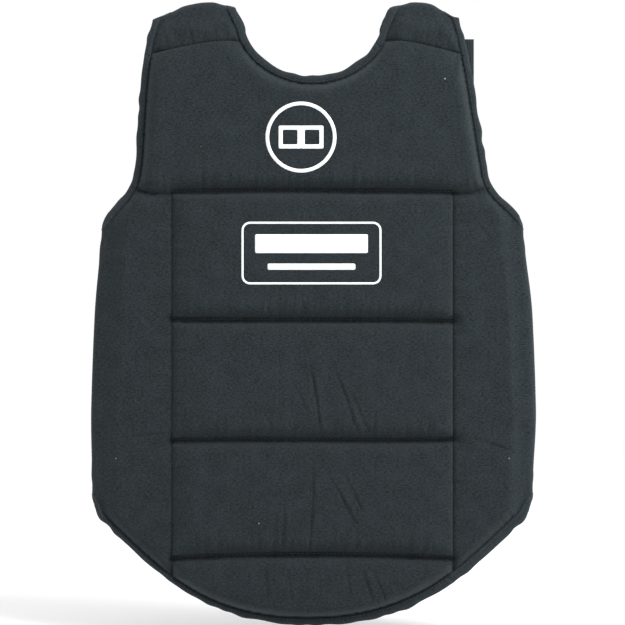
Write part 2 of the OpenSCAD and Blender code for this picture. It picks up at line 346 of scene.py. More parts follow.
def ripple(place, seed, wavelengths):
    """Smooth uneven waves along a seam, about -1 to 1."""
    rng = random.Random(seed)
    total = np.zeros(len(place))
    for wavelength in wavelengths:
        phase = rng.uniform(0, 2 * math.pi)
        bend = rng.uniform(0, 2 * math.pi)
        slow = np.sin(place / (wavelength * 3.7) * 2 * math.pi + bend)
        total += np.sin(place / wavelength * 2 * math.pi + phase + 1.6 * slow) * (0.6 + 0.4 * slow)
    return total / math.sqrt(len(wavelengths))


def mottle(points, seed, size):
    """Smooth noise over a flat drawing, about -1 to 1."""
    rng = random.Random(seed)
    total = np.zeros(len(points))
    for _ in range(7):
        angle = rng.uniform(0, math.pi)
        wave = size * rng.uniform(0.7, 1.5)
        phase = rng.uniform(0, 2 * math.pi)
        along = points[:, 0] * math.cos(angle) + points[:, 1] * math.sin(angle)
        across = points[:, 1] * math.cos(angle) - points[:, 0] * math.sin(angle)
        total += np.sin(along / wave * 2 * math.pi + phase + np.sin(across / wave * 4.1))
    return total / 4


PUCKER_WAVES = [5.5 * MM, 8 * MM, 13 * MM]
# How far a pad takes to round off above a seam, below a seam and beside the tape.
ROUND_UNDER, ROUND_OVER, ROUND_EDGE = 15 * MM, 10 * MM, 11 * MM
# How high a cross seam holds the cloth, and how far from a bound edge that is reached.
SEAM_RISE, OPEN_REACH = 3.2 * MM, 18 * MM
# The flat channel beside the tape, and the height and reach of the puckers beside it.
EDGE_CHANNEL, EDGE_PUCKER, EDGE_PUCKER_REACH = 1.4 * MM, 0.7 * MM, 4.5 * MM
# Slack of the filling: the size and the height of broad and of smaller hollows.
BROAD_SLACK, SMALL_SLACK = (90 * MM, 1.1 * MM), (34 * MM, 0.55 * MM)
# How far past a fold the padding takes to fill out, and how far inside the fold it starts.
FOLD_SOFT, FOLD_MARGIN = 26 * MM, 3 * MM
# How much the slack is lowered behind the vest, and the least height of the cover.
BACK_LEVEL, THINNEST = 1.2 * MM, 0.35 * MM


def smooth(share):
    share = np.clip(share, 0, 1)
    return share * share * (3 - 2 * share)


def swell(distance, radius):
    """How far a pad has risen, 0 to 1, at a distance from where it is sewn down."""
    u = np.clip(distance / radius, 0, 1)
    return (1 - (1 - u) ** 2.1) ** 0.78


# Slack creases of the front: the upper and the lower end in millimetres, and how sharp.
CREASES = [
    ((-8, -318), (10, -402), 1.0), ((13, -324), (45, -400), 0.8),
    ((-27, -340), (-2, -384), 0.4), ((29, -352), (55, -399), 0.5),
    ((-2, -412), (-1, -514), 1.0), ((-29, -456), (-28, -514), 0.8),
    ((-37, -466), (-36, -513), 0.4), ((11, -436), (43, -488), 0.8),
    ((24, -431), (50, -478), 0.6), ((-47, -525), (-42, -560), 0.8),
    ((-27, -526), (-19, -564), 0.5), ((30, -524), (37, -556), 0.6),
    ((45, -526), (59, -562), 1.0), ((56, -532), (74, -566), 0.8), ((3, -524), (8, -558), 0.4),
    ((-11, -272), (-5, -288), 0.6), ((-197, -405), (-139, -401), 0.7),
    ((139, -403), (199, -419), 0.7), ((-152, -478), (-172, -446), 0.3),
    ((146, -186), (170, -214), 0.3), ((-186, -262), (-144, -310), 0.3),
    ((80, -28), (92, -14), 0.4), ((70, -23), (80, -8), 0.5),
]


class Crease:
    """A sharp fold of slack cloth: a groove with a soft ridge on one side of it."""
    GROOVE, GROOVE_WIDTH = 2.3 * MM, 1.25 * MM
    RIDGE, RIDGE_WIDTH, RIDGE_OFF = 1.3 * MM, 2.2 * MM, 3.2 * MM
    LINES = [k * 1.2 * MM for k in range(-2, 5)]

    def __init__(self, start, end, sharp, side):
        self.sharp = sharp
        self.start = np.array((ex(start[0]) * side, zed(start[1])))
        span = np.array((ex(end[0]) * side, zed(end[1]))) - self.start
        self.length = np.linalg.norm(span)
        self.along = span / self.length
        self.across = np.array([-self.along[1], self.along[0]])

    def bow(self, share):
        """How far the fold's line bends aside along its length."""
        return 0.022 * self.length * np.sin(share * 4.2)

    def height(self, points):
        along = (points - self.start) @ self.along
        share = np.clip(along / self.length, 0, 1)
        off = (points - self.start) @ self.across - self.bow(share)
        fade = smooth(along / (0.5 * self.length)) * smooth((self.length - along) / (6 * MM))
        fade *= self.sharp * (0.85 + 0.15 * np.sin(share * self.length / (5 * MM)))
        groove = self.GROOVE * np.exp(-(off / self.GROOVE_WIDTH) ** 2)
        ridge = self.RIDGE * np.exp(-((off - self.RIDGE_OFF) / self.RIDGE_WIDTH) ** 2)
        return (ridge - groove) * fade

    def points(self):
        """Flat points along the groove and ridge, so that the mesh can follow them."""
        share = np.linspace(0, 1, max(3, int(self.length / (2 * MM))))
        middle = self.start + self.along * (share * self.length)[:, None]
        middle += self.across * self.bow(share)[:, None]
        return np.vstack([middle + self.across * line for line in self.LINES])


def tape_width(points, side):
    """Visible width of the folded tape at flat points. Along the hem it is wider on the
    wearer's left."""
    across, height = points[:, 0] * side, points[:, 1]
    hem = smooth((zed(-455) - height) / TAPE_CHANGE)
    neck = smooth((ex(100) - np.abs(across)) / TAPE_CHANGE) * (1 - hem)
    hem_width = HEM_W + HEM_WIDENS * np.clip(across / ex(100), -1, 1)
    return ARM_W + (hem_width - ARM_W) * hem + (NECK_W - ARM_W) * neck


class Seam:
    """A sewn line: how high the cloth is held at it, the flat channel above and below it,
    how softly the pads round off towards it, and its own puckers."""

    GROOVE_WIDTH = 1.6 * MM

    def __init__(self, run, seed, height=SEAM_RISE, channel=(0.8 * MM, 3 * MM),
                 soft=(1, 1), groove=0.0):
        self.run, self.seed, self.height = run, seed, height
        self.channel, self.soft, self.groove = channel, soft, groove

    def mirrored(self):
        return Seam(mirrored(self.run), self.seed, self.height, self.channel,
                    self.soft, self.groove)

    def measure(self, points):
        """Share of a pad's full height at points, and the puckers' height."""
        distance, place, offset = nearest_on(points, self.run)
        above = np.clip(offset[:, 1] / np.maximum(distance, 1e-6), -1, 1) / 2 + 0.5
        channel = self.channel[0] * above + self.channel[1] * (1 - above)
        radius = ROUND_UNDER * self.soft[0] * above + ROUND_OVER * self.soft[1] * (1 - above)
        near = distance / ((4 + 3 * above) * MM)
        deep = (0.5 + 0.6 * above) * MM
        pucker = near * np.exp(1 - near) * ripple(place, self.seed, PUCKER_WAVES) * deep
        pucker -= self.groove * np.exp(-(distance / self.GROOVE_WIDTH) ** 2)
        return swell(distance - channel, radius), pucker


# How high the upright seam beside the side panel holds the cloth.
UPRIGHT_RISE = {LEFT: 12 * MM, RIGHT: 11 * MM}


def seams_of(side):
    """All seams that a side's panels touch, as drawn on that side."""
    cross = [Seam(CHEST_SEAM, 1), Seam(RIB_SEAM, 2), Seam(WAIST_SEAM, 3), Seam(BELLY_SEAM, 4)]
    if side == RIGHT:
        cross = [seam.mirrored() for seam in cross]
    thin = (0.6 * MM, 0.6 * MM)
    upright = Seam(SIDE_SEAM, 12 + side, UPRIGHT_RISE[side], thin, (1.6, 2.4), 2.2 * MM)
    armpit = Seam(chest_side_seam(side), 16 + side, 5 * MM, (0.8 * MM, 2 * MM))
    shoulder = Seam(shoulder_seam(side), 20 + side, 9 * MM, thin, (1, 3.4), 1.3 * MM)
    return cross, upright, armpit, shoulder


class Edge:
    """A bound edge: its run on one panel, and the longer run that padding keeps away from."""

    def __init__(self, run, whole):
        self.run, self.whole = run, whole

    def gap(self, points, side):
        """Distance from points to the tape's inner edge, and the place along the run."""
        near, place, _ = nearest_on(points, self.whole)
        return near - tape_width(points, side), place


def relief(points, panel):
    """Height of the cover over its cloth at flat points: pads rise between the seams and
    the bound edges, and the cloth puckers beside each seam."""
    taped, room = np.ones(len(points)), np.full(len(points), 1.0)
    edge_pucker = np.zeros(len(points))
    for i, edge in enumerate(panel.bound):
        gap, place = edge.gap(points, panel.shape.side)
        room = np.minimum(room, gap)
        taped = np.minimum(taped, swell(gap - EDGE_CHANNEL, ROUND_EDGE))
        near = np.maximum(gap, 0) / EDGE_PUCKER_REACH
        waves = ripple(place, panel.seed + 40 + i, PUCKER_WAVES)
        edge_pucker += near * np.exp(1 - near) * waves * EDGE_PUCKER
    top = panel.top_at(points)
    open_room = smooth(room / OPEN_REACH)
    base = FLANGE_RISE + (SEAM_RISE - FLANGE_RISE) * open_room
    rise = base + (top - base) * taped
    sewn, pucker = np.ones(len(points)), np.zeros(len(points))
    for seam in panel.seams:
        share, waves = seam.measure(points)
        held = FLANGE_RISE + (seam.height - FLANGE_RISE) * open_room
        rise = np.minimum(rise, held + (top - held) * share)
        sewn = np.minimum(sewn, share)
        pucker += waves
    height = np.minimum(sewn, taped)
    broad = np.zeros(len(points))
    for i, (size, deep) in enumerate([BROAD_SLACK, SMALL_SLACK]):
        broad += mottle(points, panel.seed + 90 + i, size) * deep
    if isinstance(panel.shape, Fold):
        # The face behind the vest stays level, so that straps lie on it.
        reach = panel.shape.reach(points)
        broad = np.where(reach > FOLD_ARC, np.minimum(broad - BACK_LEVEL, 0), broad)
    rise += pucker + (edge_pucker + broad * height) * sewn
    if isinstance(panel.shape, Fold):
        rise = np.where(reach > FOLD_ARC, np.minimum(rise, panel.top), rise)
        beyond = np.maximum(np.abs(reach - FOLD_ARC / 2) - FOLD_ARC / 2 + FOLD_MARGIN, 0)
        low = FLANGE_RISE + panel.fold_rise * smooth(room / panel.fold_taper) + edge_pucker * 0.5
        rise = np.minimum(rise, low + (rise - FLANGE_RISE) * smooth(beyond / FOLD_SOFT))
    return np.maximum(rise, THINNEST)


# ---------------------------------------------------------------- meshes

# Height of an even-sided triangle, as a share of its side.
ROW_SHARE = 0.866


def triangulated(outline, step, holes=(), extra=()):
    """Flat points and triangles that fill an outline and leave its holes open. The mesh
    passes through the extra points."""
    low, high = outline.min(0), outline.max(0)
    rows = int((high[1] - low[1]) / (step * ROW_SHARE)) + 2
    columns = int((high[0] - low[0]) / step) + 2
    lattice = []
    for r in range(rows):
        z = low[1] + r * step * ROW_SHARE
        shift = 0.5 * step * (r % 2)
        lattice += [(low[0] + c * step + shift, z) for c in range(columns)]
    lattice = np.array(lattice)
    for group in extra:
        middle, reach = group.mean(0), np.ptp(group, axis=0).max()
        near = np.linalg.norm(lattice - middle, axis=1) < reach
        far = np.min(np.linalg.norm(lattice[near][:, None] - group[None], axis=2), axis=1)
        near[near] = far < 0.7 * step
        lattice = lattice[~near]
    lattice = np.vstack([lattice, *extra])
    keep = inside(lattice, outline)
    for loop in [outline, *holes]:
        keep &= nearest_on(lattice, np.vstack([loop, loop[:1]]))[0] > 0.6 * step
    for hole in holes:
        keep &= ~inside(lattice, hole)
    edges, count = [], 0
    for loop in [outline, *holes]:
        edges += [(count + i, count + (i + 1) % len(loop)) for i in range(len(loop))]
        count += len(loop)
    points = [Vector(p) for p in np.vstack([outline, *holes, lattice[keep]])]
    result = delaunay_2d_cdt(points, edges, [list(range(len(outline)))], 1, 1e-7)
    flat = np.array([tuple(v) for v in result[0]])
    faces = [tuple(f) for f in result[2]]
    for hole in holes:
        middles = np.array([flat[list(f)].mean(0) for f in faces])
        faces = [f for f, in_hole in zip(faces, inside(middles, hole)) if not in_hole]
    return flat, faces


def inside(points, outline):
    """True for the points that lie inside a closed outline."""
    x, z = points[:, 0], points[:, 1]
    within = np.zeros(len(points), bool)
    for a, b in zip(outline, np.roll(outline, -1, axis=0)):
        crosses = (a[1] > z) != (b[1] > z)
        with np.errstate(divide="ignore", invalid="ignore"):
            at = (b[0] - a[0]) * (z - a[1]) / (b[1] - a[1]) + a[0]
        within ^= crosses & (x < at)
    return within


def make_object(name, vertices, faces, uvs, material_of, materials):
    """A closed smooth-shaded mesh object with its faces turned outward. uvs is one flat
    point per vertex, in metres, and material_of one material's number per face."""
    mesh = bpy.data.meshes.new(name)
    mesh.from_pydata([tuple(v) for v in vertices], [], [tuple(f) for f in faces])
    for material in materials:
        mesh.materials.append(material)
    if uvs is not None:
        layer = mesh.uv_layers.new(name="cloth")
        index = np.zeros(len(mesh.loops), int)
        mesh.loops.foreach_get("vertex_index", index)
        layer.data.foreach_set("uv", np.asarray(uvs, float)[index].ravel())
    if material_of is not None:
        mesh.polygons.foreach_set("material_index", np.asarray(material_of, int))
    mesh.polygons.foreach_set("use_smooth", np.ones(len(mesh.polygons), bool))
    work = bmesh.new()
    work.from_mesh(mesh)
    bmesh.ops.recalc_face_normals(work, faces=work.faces)
    work.to_mesh(mesh)
    work.free()
    obj = bpy.data.objects.new(name, mesh)
    bpy.context.scene.collection.objects.link(obj)
    return obj


def boundary_of(faces):
    """Directed edges that only one face uses."""
    seen = {}
    for f in faces:
        for a, b in zip(f, f[1:] + f[:1]):
            seen[(a, b)] = True
    return [(a, b) for a, b in seen if (b, a) not in seen]


def oriented(flat, faces):
    """Triangles turned to face out of a sheet seen from the front."""
    out = []
    for f in faces:
        a, b, c = (flat[i] for i in f)
        area = (b[0] - a[0]) * (c[1] - a[1]) - (b[1] - a[1]) * (c[0] - a[0])
        out.append(tuple(f) if area > 0 else tuple(reversed(f)))
    return out


def closed_faces(faces, count):
    """Faces of a sheet of count points, of its copy behind it and of the rim between."""
    under = [tuple(i + count for i in reversed(f)) for f in faces]
    rim = [(b, a, a + count, b + count) for a, b in boundary_of(faces)]
    return [*faces, *under, *rim]


def tube_faces(count, ring):
    """Faces of a closed tube that has count rings of ring points each."""
    faces = []
    for i in range(count - 1):
        for k in range(ring):
            a, b = i * ring + k, i * ring + (k + 1) % ring
            faces.append((a, b, b + ring, a + ring))
    faces.append(tuple(range(ring)))
    faces.append(tuple((count - 1) * ring + k for k in range(ring)))
    return faces


PANEL_STEP = 2.1 * MM
# How far the lining is drawn into the cloth at a bound edge and at a seam.
LINING_DIP, LINING_SEAM_DIP = 1.1 * MM, 3.0 * MM


class Panel:
    """A padded panel: cover and lining over one flat outline, closed all round. Its runs
    meet end to end, with the panel on their left."""

    def __init__(self, name, runs, seams, sewn, bound, top, seed, shape, front_top=None,
                 fold_rise=0.0, fold_taper=1.0):
        self.name, self.shape, self.top, self.seed = name, shape, top, seed
        self.seams, self.sewn, self.bound = seams, sewn, bound
        self.front_top = top if front_top is None else front_top
        self.fold_rise, self.fold_taper = fold_rise, fold_taper
        outline = np.vstack([spaced(run, PANEL_STEP)[:-1] for run in runs])
        creases = [Crease(*crease, shape.side) for crease in CREASES]
        creases = [c for c in creases if inside(c.points(), outline).all()]
        self.flat, faces = triangulated(outline, PANEL_STEP, (), [c.points() for c in creases])
        self.faces = oriented(self.flat, faces)
        self.rise = relief(self.flat, self)
        share = np.clip((self.rise - FLANGE_RISE) / (top - FLANGE_RISE), 0, 1)
        room = np.min([edge.gap(self.flat, shape.side)[0] for edge in bound], axis=0)
        dip = LINING_DIP + (LINING_SEAM_DIP - LINING_DIP) * smooth(room / OPEN_REACH)
        self.under = LINING_Y - CLOTH_Y + dip * (1 - share) ** 1.5
        for c in creases:
            self.rise += c.height(self.flat) * smooth(share * 3)

    def top_at(self, points):
        """Full height of the padding, which may be thinner on the front of a fold."""
        if not isinstance(self.shape, Fold):
            return np.full(len(points), self.top)
        back = np.clip(self.shape.reach(points) / FOLD_ARC, 0, 1)
        return self.front_top + (self.top - self.front_top) * back

    def build(self):
        """The closed mesh, with the cover's material first and the lining's second."""
        upper = self.shape.place(self.flat, self.rise)
        lower = self.shape.place(self.flat, self.under)
        faces = closed_faces(self.faces, len(self.flat))
        slots = np.zeros(len(faces), int)
        slots[len(self.faces):2 * len(self.faces)] = 1
        vertices, uvs = np.vstack([upper, lower]), np.vstack([self.flat, self.flat])
        self.object = make_object(self.name, vertices, faces, uvs, slots, [COVER, LINING])


# The tape's unevenness, and the length at each of its ends where that fades out.
TAPE_WOBBLE, TAPE_CALM = 0.8 * MM, 15 * MM


def swept(name, shape, path, seed):
    """Folded tape along a flat path, whose left-hand side is inward."""
    profile = binding_profile()
    count = len(path)
    inward = left_of(headings(path))
    along = lengths(path)
    calm = np.clip(np.minimum(along, along[-1] - along) / TAPE_CALM, 0, 1)
    swing = ripple(along, seed, [23 * MM, 41 * MM]) * TAPE_WOBBLE * calm
    puff = ripple(along, seed + 1, [6.5 * MM, 9 * MM, 14 * MM]) * TAPE_WOBBLE * 0.8 * calm
    width = tape_width(path, shape.side)
    pressed = 1 - TAPE_PRESS * shape.crown(path)
    vertices, uvs = [], []
    for k, (depth, rise) in enumerate(profile):
        rim = 1 - max(depth, 0)
        reach = width * depth if depth > 0 else np.full(count, depth * MM)
        at = path + inward * (reach + swing * rim)[:, None]
        lift = (rise + np.sign(rise) * puff * (0.35 + 0.65 * rim)) * pressed
        vertices.append(shape.place(at, np.maximum(lift, LINING_Y - CLOTH_Y)))
        uvs.append(np.stack([along, np.full(count, k * 2 * MM)], axis=1))
    vertices = np.stack(vertices, axis=1).reshape(-1, 3)
    uvs = np.stack(uvs, axis=1).reshape(-1, 2)
    return make_object(name, vertices, tube_faces(count, len(profile)), uvs, None, [TAPE])


def binding_profile():
    """Section of the folded tape, from its front inner edge round the rim to the back, as
    (share of the width, rise). Beyond the rim the first number is in millimetres."""
    t = TAPE_T
    front, back, rim = FLANGE_RISE, LINING_Y - CLOTH_Y, 0.6 * MM
    return [(1, front - 0.4 * MM), (1, front + 0.7 * t), (0.92, front + t),
            (0.55, front + 1.35 * t), (0.2, front + 1.15 * t), (0.03, front + 0.7 * t),
            (-0.9, rim + 0.5 * MM), (-0.9, rim - 0.5 * MM), (0.03, back * 0.7),
            (0.2, back), (0.55, back), (0.92, back), (1, back * 0.7), (1, 0)]


STITCH_LENGTH, STITCH_GAP, THREAD_HALF = 2.6 * MM, 1.3 * MM, 0.34 * MM


def stitches(name, rows):
    """Lock stitches along rows of (shape, path, height over the cloth as a function)."""
    vertices, faces = [], []
    for shape, path, rise_of in rows:
        marks = spaced(path, STITCH_LENGTH + STITCH_GAP)
        ahead = headings(marks)
        across = left_of(ahead)
        sections = []
        for along, sink in [(-0.5, -0.5), (-0.3, 0.35), (0.3, 0.35), (0.5, -0.5)]:
            centre = marks + ahead * (along * STITCH_LENGTH)
            base = rise_of(centre) + sink * THREAD_HALF * 2
            for angle in (45, 135, 225, 315):
                aside = across * (math.cos(math.radians(angle)) * THREAD_HALF)
                up = math.sin(math.radians(angle)) * THREAD_HALF
                sections.append(shape.place(centre + aside, base + up))
        for n in range(len(marks)):
            first = len(vertices)
            vertices += [section[n] for section in sections]
            for k in range(0, 12, 4):
                for m in range(4):
                    a, b = first + k + m, first + k + (m + 1) % 4
                    faces.append((a, b, b + 4, a + 4))
            faces.append(tuple(first + m for m in (3, 2, 1, 0)))
            faces.append(tuple(first + 12 + m for m in range(4)))
    return make_object(name, vertices, faces, None, None, [THREAD])


def plate(name, outline, shape, top, bottom, material, step=3 * MM, holes=()):
    """A closed thin piece over a flat outline, between two heights over the shape."""
    flat, faces = triangulated(np.asarray(outline), step, holes)
    faces = oriented(flat, faces)
    count = len(flat)
    closed = np.vstack([outline, outline[:1]])
    edge = np.clip(nearest_on(flat, closed)[0] / (0.8 * step), 0, 1)
    high = bottom + (top - bottom) * (0.5 + 0.5 * edge)
    vertices = np.vstack([shape.place(flat, high), shape.place(flat, np.full(count, bottom))])
    every = closed_faces(faces, count)
    return make_object(name, vertices, every, np.vstack([flat, flat]), None, [material])


def rounded_box(x0, x1, z0, z1, radius, step=2 * MM):
    """Counter-clockwise outline of a rectangle with rounded corners."""
    corners = [(x1 - radius, z0 + radius, -90), (x1 - radius, z1 - radius, 0),
               (x0 + radius, z1 - radius, 90), (x0 + radius, z0 + radius, 180)]
    points = []
    for cx, cz, start in corners:
        for k in range(7):
            a = math.radians(start + 15 * k)
            points.append(Vector((cx + radius * math.cos(a), cz + radius * math.sin(a))))
    return spaced(points, step, closed=True)


class OnCover:
    """Places things on a panel's cover, so that rise counts from the cloth's surface."""

    def __init__(self, panel):
        self.panel = panel
        vertices = [(p[0], r, p[1]) for p, r in zip(panel.flat, panel.rise)]
        self.tree = BVHTree.FromPolygons(vertices, panel.faces)

    def height(self, points):
        """How high the cover stands over its cloth at flat points."""
        out = []
        for p in np.asarray(points, float):
            hit = self.tree.ray_cast(Vector((p[0], 1, p[1])), Vector((0, -1, 0)))[0]
            out.append(hit.y if hit else FLANGE_RISE)
        return np.array(out)

    def place(self, points, rise):
        return self.panel.shape.place(points, self.height(points) + rise)


class Behind:
    """A flat layer behind the vest at a depth, where rise counts backward."""

    def __init__(self, depth):
        self.depth = depth

    def place(self, points, rise):
        points = np.asarray(points, float)
        depth = self.depth + np.asarray(rise, float)
        return np.stack([points[:, 0], depth * np.ones(len(points)), points[:, 1]], axis=1)


RIBBON_STEP = 1.6 * MM


def ribbon(name, path, across, width, thick, material):
    """Flat webbing with soft edges along a path in the frame. across is its width's way."""
    path = spaced(path, RIBBON_STEP)
    out = np.cross(headings(path), np.array(across))
    along = lengths(path)
    shares = np.linspace(-1, 1, 15)
    bulge = np.sqrt(1 - np.abs(shares) ** 10 * 0.9)
    ring = [(s, b) for s, b in zip(shares, bulge)] + [(s, -b) for s, b in zip(shares[::-1], bulge)]
    rows = [path + np.array(across) * (s * width / 2) + out * (b * thick / 2) for s, b in ring]
    uvs = [np.stack([along, np.full(len(path), s * width / 2)], axis=1) for s, b in ring]
    vertices = np.stack(rows, axis=1).reshape(-1, 3)
    uvs = np.stack(uvs, axis=1).reshape(-1, 2)
    return make_object(name, vertices, tube_faces(len(path), len(ring)), uvs, None, [material])


# ---------------------------------------------------------------- materials

# The cool tint of the cloth's gloss, and how widely its sheen spreads.
COOL, SHEEN_ROUGHNESS = (0.80, 0.94, 1.0), 0.6


class Nodes:
    """A small wrapper that adds and links shader nodes."""

    def __init__(self, name):
        self.material = bpy.data.materials.new(name)
        self.material.use_nodes = True
        self.tree = self.material.node_tree
        self.shader = self.tree.nodes["Principled BSDF"]
        self.coords = self.tree.nodes.new("ShaderNodeTexCoord")

    def add(self, kind, inputs=None, **settings):
        node = self.tree.nodes.new("ShaderNode" + kind)
        for key, value in settings.items():
            setattr(node, key, value)
        for key, value in (inputs or {}).items():
            self.feed(value, node.inputs[key])
        return node

    def feed(self, value, socket):
        if isinstance(value, bpy.types.NodeSocket):
            self.tree.links.new(value, socket)
        else:
            socket.default_value = value

    def scaled(self, factors, source="UV"):
        mapping = self.add("Mapping", {"Vector": self.coords.outputs[source]})
        mapping.inputs["Scale"].default_value = factors
        return mapping.outputs["Vector"]

    def noise(self, vector, scale, detail=3.0, roughness=0.55):
        node = self.add("TexNoise", {"Vector": vector, "Scale": scale, "Detail": detail,
                                     "Roughness": roughness})
        return node.outputs["Fac"]

    def math(self, operation, a, b=0.0):
        node = self.add("Math", operation=operation)
        self.feed(a, node.inputs[0])
        self.feed(b, node.inputs[1])
        return node.outputs[0]

    def weighted(self, *parts):
        """The sum of several values, each times its weight."""
        total = None
        for value, weight in parts:
            part = self.math("MULTIPLY", value, weight)
            total = part if total is None else self.math("ADD", total, part)
        return total

    def ramp(self, factor, first, last):
        """Colour that runs from one (place, colour) to another."""
        node = self.add("ValToRGB", {"Fac": factor})
        for element, (position, colour) in zip(node.color_ramp.elements, (first, last)):
            element.position = position
            element.color = (*colour, 1)
        return node.outputs["Color"]

    def spotted(self, factor, colour, spot):
        """A colour socket with spots of one colour, as far as the factor says."""
        node = self.add("Mix", data_type="RGBA", blend_type="MIX")
        self.feed(factor, node.inputs[0])
        self.feed(colour, node.inputs[6])
        self.feed((*spot, 1), node.inputs[7])
        return node.outputs[2]

    def weave(self, vector, pitch):
        """Height of a plain weave with threads at a pitch in metres."""
        turns = 2 * math.pi / pitch
        split = self.add("SeparateXYZ", {"Vector": vector})
        u = self.math("SINE", self.math("MULTIPLY", split.outputs[0], turns))
        v = self.math("SINE", self.math("MULTIPLY", split.outputs[1], turns))
        return self.math("MULTIPLY", u, v)

    def bump(self, height, distance):
        node = self.add("Bump", {"Height": height, "Distance": distance, "Strength": 1.0})
        return node.outputs["Normal"]

    def finish(self, colour, roughness, normal=None, sheen=0.0, specular=0.3, tint=(1, 1, 1)):
        self.feed(colour, self.shader.inputs["Base Color"])
        self.feed(roughness, self.shader.inputs["Roughness"])
        self.shader.inputs["Specular IOR Level"].default_value = specular
        self.shader.inputs["Sheen Weight"].default_value = sheen
        self.shader.inputs["Sheen Roughness"].default_value = SHEEN_ROUGHNESS
        self.shader.inputs["Specular Tint"].default_value = (*tint, 1)
        self.shader.inputs["Sheen Tint"].default_value = (*tint, 1)
        if normal is not None:
            self.feed(normal, self.shader.inputs["Normal"])
        return self.material


def woven(name, dark, light, pitch, sheen, lint=False, seed=0.0):
    """Woven cloth: uneven thread colour, a plain weave and a soft sheen."""
    n = Nodes(name)
    cloth = n.add("Mapping", {"Vector": n.coords.outputs["UV"], "Location": (seed, seed, 0)})
    cloth = cloth.outputs["Vector"]
    broad = n.noise(cloth, 60.0, 4.0)
    fine = n.noise(cloth, 580.0, 2.0, 0.6)
    weft = n.noise(n.scaled((340.0, 1000.0, 1.0)), 1.0, 1.0)
    warp = n.noise(n.scaled((1000.0, 300.0, 1.0)), 1.0, 1.0)
    tone = n.weighted((broad, 0.14), (fine, 0.30), (weft, 0.40), (warp, 0.16))
    colour = n.ramp(tone, (0.37, dark), (0.67, light))
    if lint:
        specks = n.add("TexVoronoi", {"Vector": cloth, "Scale": 34.0}, feature="F1")
        wisp = n.math("LESS_THAN", specks.outputs["Distance"], 0.026)
        rare = n.math("GREATER_THAN", n.noise(cloth, 7.0, 1.0), 0.54)
        spot = n.math("MULTIPLY", n.math("MULTIPLY", wisp, rare), 0.5)
        colour = n.spotted(spot, colour, (0.30, 0.31, 0.31))
    height = n.weighted((n.weave(cloth, pitch), 0.5), (fine, 1.3))
    return n.finish(colour, 0.9, n.bump(height, 0.00012), sheen, 0.12, COOL)


def printed_ink():
    """Flat white screen print that lets the weave show through."""
    n = Nodes("print_ink")
    cloth = n.coords.outputs["UV"]
    wear = n.noise(cloth, 900.0, 3.0, 0.7)
    colour = n.ramp(wear, (0.30, (0.50, 0.53, 0.53)), (0.52, (0.70, 0.74, 0.74)))
    normal = n.bump(n.math("ADD", n.weave(cloth, 0.0011), wear), 0.0001)
    return n.finish(colour, 0.6, normal)


def elastic_webbing():
    """Ribbed elastic: cords along its length and fine crosswise yarn."""
    n = Nodes("elastic_webbing")
    split = n.add("SeparateXYZ", {"Vector": n.coords.outputs["UV"]})
    ribs = n.math("SINE", n.math("MULTIPLY", split.outputs[1], 2 * math.pi / 0.0022))
    yarn = n.math("SINE", n.math("MULTIPLY", split.outputs[0], 2 * math.pi / 0.0009))
    height = n.math("ADD", ribs, n.math("MULTIPLY", yarn, 0.5))
    # The tone is random noise in the yarn's own colour plus the ribs: the grooves between the cords
    # are painted darker and the cords lighter, as painted shade.
    tone = n.math("ADD", n.math("MULTIPLY", ribs, 0.15), n.noise(n.coords.outputs["UV"], 500.0))
    colour = n.ramp(tone, (0.35, (0.0065, 0.0090, 0.0098)), (0.75, (0.0190, 0.0245, 0.0262)))
    return n.finish(colour, 0.8, n.bump(height, 0.00025), 0.08, 0.2, COOL)


def hook_face():
    """Rows of stiff plastic hooks."""
    n = Nodes("hook_tape")
    cloth = n.coords.outputs["UV"]
    rows = n.weave(cloth, 0.0022)
    tone = n.noise(cloth, 700.0)
    colour = n.ramp(tone, (0.35, (0.013, 0.014, 0.015)), (0.7, (0.040, 0.043, 0.044)))
    return n.finish(colour, 0.5, n.bump(rows, 0.0006), 0.0, 0.5)


def loop_face():
    """Brushed loop pile, matted in places."""
    n = Nodes("loop_tape")
    cloth = n.coords.outputs["UV"]
    pile = n.noise(cloth, 1400.0, 4.0, 0.75)
    mats = n.noise(cloth, 90.0, 3.0)
    tone = n.weighted((pile, 0.6), (mats, 0.4))
    colour = n.ramp(tone, (0.38, (0.006, 0.006, 0.007)), (0.66, (0.030, 0.031, 0.033)))
    return n.finish(colour, 0.95, n.bump(pile, 0.0008), 0.5)


def satin_label():
    """Pale satin ribbon."""
    n = Nodes("label_satin")
    split = n.add("SeparateXYZ", {"Vector": n.coords.outputs["UV"]})
    yarn = n.math("SINE", n.math("MULTIPLY", split.outputs[1], 2 * math.pi / 0.0005))
    tone = n.noise(n.coords.outputs["UV"], 300.0)
    colour = n.ramp(tone, (0.2, (0.56, 0.57, 0.57)), (0.8, (0.64, 0.65, 0.65)))
    return n.finish(colour, 0.4, n.bump(yarn, 0.00008), 0.2)


def polyester_thread():
    """Twisted thread with a low gloss."""
    n = Nodes("thread")
    twist = n.noise(n.scaled((900.0, 900.0, 2500.0), "Object"), 1.0, 2.0)
    colour = n.ramp(twist, (0.35, (0.007, 0.010, 0.012)), (0.7, (0.024, 0.031, 0.036)))
    return n.finish(colour, 0.55, n.bump(twist, 0.0001), 0.1)


COVER = woven("cover_cloth", dark=(0.0028, 0.0037, 0.0042), light=(0.0200, 0.0256, 0.0286),
              pitch=0.0011, sheen=0.06, lint=True)
LINING = woven("lining_cloth", dark=(0.0090, 0.0104, 0.0113), light=(0.0198, 0.0226, 0.0242),
               pitch=0.0013, sheen=0.05, seed=3.1)
TAPE = woven("binding_tape", dark=(0.0062, 0.0083, 0.0100), light=(0.0215, 0.0275, 0.0318),
             pitch=0.0008, sheen=0.09, seed=5.7)
PRINT = printed_ink()
ELASTIC = elastic_webbing()
HOOK = hook_face()
LOOP = loop_face()
LABEL = satin_label()
THREAD = polyester_thread()


# ---------------------------------------------------------------- the padded panels

